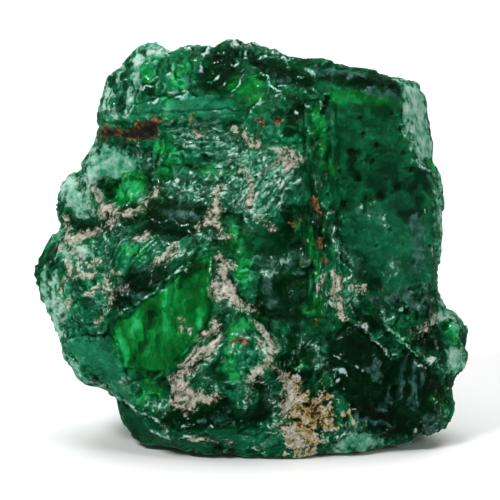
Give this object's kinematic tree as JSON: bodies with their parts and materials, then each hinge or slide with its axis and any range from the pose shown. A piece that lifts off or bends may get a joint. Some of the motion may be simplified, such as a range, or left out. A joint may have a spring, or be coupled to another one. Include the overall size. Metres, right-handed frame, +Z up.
{
  "type": "rough emerald",
  "caption": "Rough broken piece of a clear green emerald prism with clay-filled cracks, an iron-stained ledge and shell-shaped break scoops, resting on a small flat.",
  "frame": {"origin": "middle of the stone's box, at the height of the flat that it rests on", "axes": "+X to the viewer's right along the stone's width, +Y away from the viewer through its thickness, +Z up; the pictured front looks towards -Y"},
  "size_m": [0.0212, 0.014, 0.0199],
  "materials": {
    "emerald": "clear green crystal, glassy on fresh breaks and frosted or clay-filled along cracks"
  },
  "bodies": {
    "root": {"rough_emerald": "emerald"}
  },
  "joints": []
}
